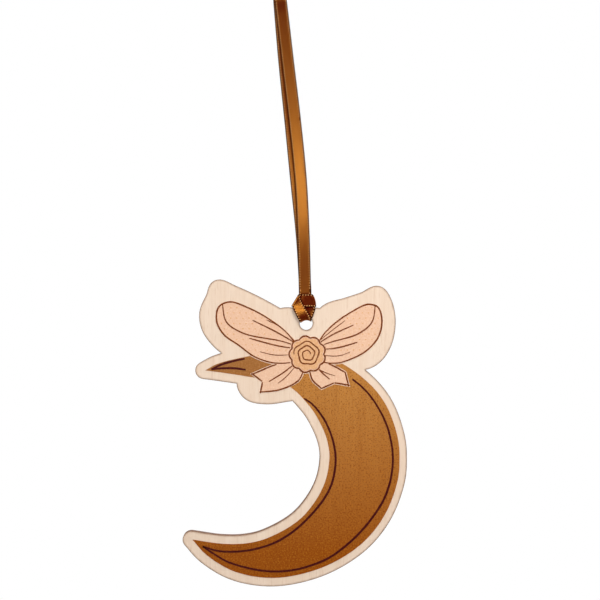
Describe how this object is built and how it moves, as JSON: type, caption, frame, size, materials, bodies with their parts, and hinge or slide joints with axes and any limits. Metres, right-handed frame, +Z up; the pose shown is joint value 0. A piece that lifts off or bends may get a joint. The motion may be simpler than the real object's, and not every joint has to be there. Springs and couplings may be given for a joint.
{
  "type": "crescent moon decoration",
  "caption": "Hanging decoration: a thin printed plywood plate cut as a crescent moon with a bow at its top, on a narrow satin ribbon hitched through its hole.",
  "frame": {"origin": "the hanging point, inside the ribbon's eye and just under its end knot", "axes": "+X to the viewer's right across the printed face, +Y through the plate from its printed front to its bare back, +Z up"},
  "size_m": [0.0548, 0.005, 0.1702],
  "materials": {
    "bare_veneer": "sanded, unvarnished",
    "core_wood": "laser-charred cut edge",
    "moon_print": "printed ink film with a faint sheen",
    "moon_line_print": "printed ink line",
    "bow_print": "printed ink film",
    "bow_line_print": "printed ink line",
    "rosette_print": "printed ink film",
    "satin": "double-face satin with a woven edge"
  },
  "bodies": {
    "hanger": {"ribbon_front_upper": "satin", "ribbon_rear_upper": "satin", "ribbon_end_knot": "satin", "ribbon_tail_front": "satin", "ribbon_tail_rear": "satin"},
    "ribbon_drop": {"ribbon_front_lower": "satin", "ribbon_rear_lower": "satin"},
    "ornament": {"back_veneer": "bare_veneer", "core_ply": "core_wood", "front_veneer": "bare_veneer", "moon_ink": "moon_print", "horn_ink": "moon_print", "moon_line_ink": "moon_line_print", "horn_line_ink": "moon_line_print", "bow_ink": "bow_print", "bow_line_ink": "bow_line_print", "rosette_ink": "rosette_print", "rosette_line_ink": "bow_line_print", "ribbon_hitch": "satin"}
  },
  "joints": [
    {"name": "ribbon_twist", "type": "hinge", "parent": "hanger", "child": "ribbon_drop", "pos_m": [0.00445, 0, -0.042], "axis": [0, 0, 1], "range_deg": [-180, 180], "deforming": ["ribbon_front_upper", "ribbon_rear_upper", "ribbon_front_lower", "ribbon_rear_lower"]},
    {"name": "plate_swing", "type": "hinge", "parent": "ribbon_drop", "child": "ornament", "pos_m": [0.0075, 0, -0.08365], "axis": [1, 0, 0], "range_deg": [-90, 90], "deforming": ["ribbon_front_lower", "ribbon_rear_lower"]}
  ]
}
